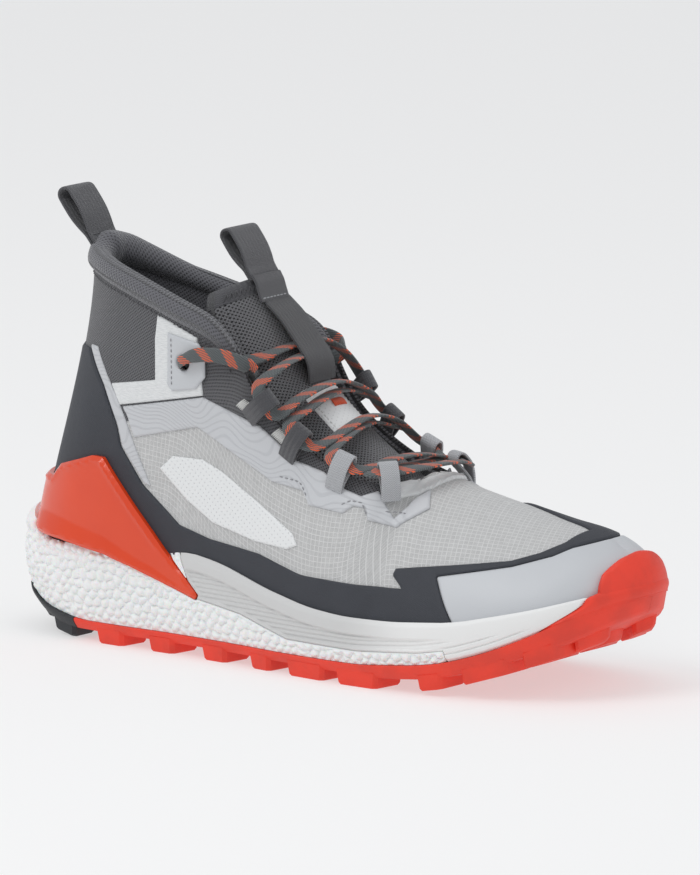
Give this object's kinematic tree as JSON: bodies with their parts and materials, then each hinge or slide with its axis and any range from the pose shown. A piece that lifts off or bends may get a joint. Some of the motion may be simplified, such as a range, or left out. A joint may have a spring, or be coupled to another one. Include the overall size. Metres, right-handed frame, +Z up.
{
  "type": "hiking boot",
  "caption": "Mid-height right hiking boot with a two-part rubber outsole, moulded midsole, heel clip, padded collar, webbing lace loops and pull loops.",
  "frame": {"origin": "on the ground under the middle of the boot's overall length and width", "axes": "+X towards the toe, +Y towards the inner side of the foot, +Z up"},
  "size_m": [0.3058, 0.0996, 0.1879],
  "materials": {
    "black_rubber": "moulded carbon rubber, matt",
    "red_rubber": "moulded rubber, matt with fine grain",
    "bead_foam": "moulded bead foam with a pebbled skin",
    "eva_frame": "compression-moulded foam with moulded ribs",
    "orange_plastic": "injection-moulded clip, high gloss",
    "board": "stitched non-woven insole board",
    "lining_fabric": "knitted lining",
    "dark_mesh": "spacer mesh with open holes",
    "ripstop": "woven ripstop",
    "stiffener": "thermoplastic sheet stiffener",
    "navy_film": "welded film with a matt woven face",
    "embossed_film": "welded film embossed with a fine wave",
    "light_overlay": "welded overlay with a fine diagonal weave",
    "white_thread": "dense satin stitches",
    "dark_webbing": "woven webbing",
    "light_webbing": "woven webbing",
    "orange_thread": "dense zigzag stitches",
    "lace_cord": "flat braid with orange flecks"
  },
  "bodies": {
    "rearfoot": {"outsole_heel": "black_rubber", "outsole_mid": "red_rubber", "midsole_foam": "bead_foam", "midsole_frame": "eva_frame", "heel_clip": "orange_plastic", "strobel_board": "board", "sockliner": "lining_fabric", "shaft_panel": "dark_mesh", "quarter": "ripstop", "vamp_flex_zone": "ripstop", "bootie_lining": "lining_fabric", "heel_counter": "stiffener", "collar_roll": "dark_mesh", "mudguard": "navy_film", "throat_strip": "light_overlay", "heel_strip_outer": "light_overlay", "ankle_overlay_outer": "light_overlay", "eyelet_tab_outer": "light_overlay", "eyestay_film_outer": "embossed_film", "side_panel_outer": "light_overlay", "bar_tack_outer_1": "white_thread", "bar_tack_outer_2": "white_thread", "lace_loop_d_outer": "light_webbing", "lace_loop_c_outer": "light_webbing", "lace_loop_b_outer": "dark_webbing", "lace_loop_a_outer": "dark_webbing", "heel_strip_inner": "light_overlay", "ankle_overlay_inner": "light_overlay", "eyelet_tab_inner": "light_overlay", "eyestay_film_inner": "embossed_film", "side_panel_inner": "light_overlay", "bar_tack_inner_1": "white_thread", "bar_tack_inner_2": "white_thread", "lace_loop_d_inner": "light_webbing", "lace_loop_c_inner": "light_webbing", "lace_loop_b_inner": "dark_webbing", "lace_loop_a_inner": "dark_webbing", "tongue_pad": "dark_mesh", "tongue_bend_zone": "dark_mesh", "tongue_strap": "dark_webbing", "tongue_patch": "light_overlay", "tongue_patch_tack": "orange_thread", "lace": "lace_cord"},
    "forefoot": {"outsole_toe": "red_rubber", "midsole_foam_toe": "bead_foam", "midsole_frame_toe": "eva_frame", "vamp_toe": "ripstop", "toe_film": "embossed_film", "toe_puff": "stiffener"},
    "tongue_flap": {"tongue_top": "dark_mesh", "tongue_binding": "dark_mesh"},
    "tongue_loop": {"tongue_pull_loop": "dark_webbing"},
    "heel_loop": {"heel_pull_loop": "dark_webbing"}
  },
  "joints": [
    {"name": "forefoot_flex", "type": "hinge", "parent": "rearfoot", "child": "forefoot", "pos_m": [0.0719, 0.002, 0.024], "axis": [0, -1, 0], "range_deg": [0, 25], "stiffness_Nm_per_rad": 8, "deforming": ["vamp_flex_zone", "mudguard", "bootie_lining", "strobel_board", "sockliner"]},
    {"name": "tongue_top_bend", "type": "hinge", "parent": "rearfoot", "child": "tongue_flap", "pos_m": [-0.0225, 0.002, 0.1304], "axis": [0, 1, 0], "range_deg": [-15, 30], "stiffness_Nm_per_rad": 0.3, "deforming": ["tongue_bend_zone", "tongue_strap"]},
    {"name": "tongue_loop_bend", "type": "hinge", "parent": "tongue_flap", "child": "tongue_loop", "pos_m": [-0.0379, 0.002, 0.1581], "axis": [0, 1, 0], "range_deg": [-25, 35], "stiffness_Nm_per_rad": 0.02},
    {"name": "heel_loop_bend", "type": "hinge", "parent": "rearfoot", "child": "heel_loop", "pos_m": [-0.1196, 0.002, 0.1656], "axis": [0, 1, 0], "range_deg": [-20, 40], "stiffness_Nm_per_rad": 0.02}
  ]
}
